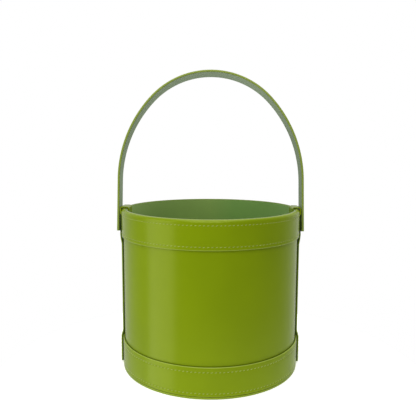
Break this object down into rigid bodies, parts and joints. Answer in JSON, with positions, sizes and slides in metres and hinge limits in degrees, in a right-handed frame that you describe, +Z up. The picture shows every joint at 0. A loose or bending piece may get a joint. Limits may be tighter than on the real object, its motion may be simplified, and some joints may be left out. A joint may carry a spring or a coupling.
{
  "type": "leather picking bucket",
  "caption": "Round upright leather-covered bucket with raised sewn bands, side straps over the rim and a tall strap handle that swings on rivets.",
  "frame": {"origin": "centre of the underside, where the bucket stands", "axes": "+Z up the bucket's axis, +X through the right-hand handle pivot, +Y to the back, the way the handle leans at rest"},
  "size_m": [0.2698, 0.255, 0.4272],
  "materials": {
    "green_leather": "smooth satin, light grain",
    "grey_green_leather": "matt flesh side",
    "suede_lining": "matt suede",
    "board": "raw",
    "thread": "waxed",
    "steel": "satin",
    "brass": "satin"
  },
  "bodies": {
    "bucket": {"base_sole": "green_leather", "base_board": "board", "floor_lining": "suede_lining", "wall_core": "board", "outer_skin": "green_leather", "inner_lining": "suede_lining", "upper_band": "green_leather", "lower_band": "green_leather", "upper_band_thread": "thread", "lower_band_thread": "thread", "left_side_strap": "green_leather", "right_side_strap": "green_leather", "left_strap_thread": "thread", "right_strap_thread": "thread", "left_pivot_rivet": "steel", "right_pivot_rivet": "steel", "left_backing_washer": "steel", "right_backing_washer": "steel", "left_rivet_cap": "steel", "right_rivet_cap": "steel"},
    "handle": {"handle_outer_leather": "green_leather", "handle_core": "steel", "handle_inner_leather": "grey_green_leather", "handle_thread": "thread", "left_pivot_bush": "brass", "right_pivot_bush": "brass"}
  },
  "joints": [
    {"name": "handle_swing", "type": "hinge", "parent": "bucket", "child": "handle", "pos_m": [0, 0, 0.212], "axis": [1, 0, 0], "range_deg": [-129, 147]}
  ]
}
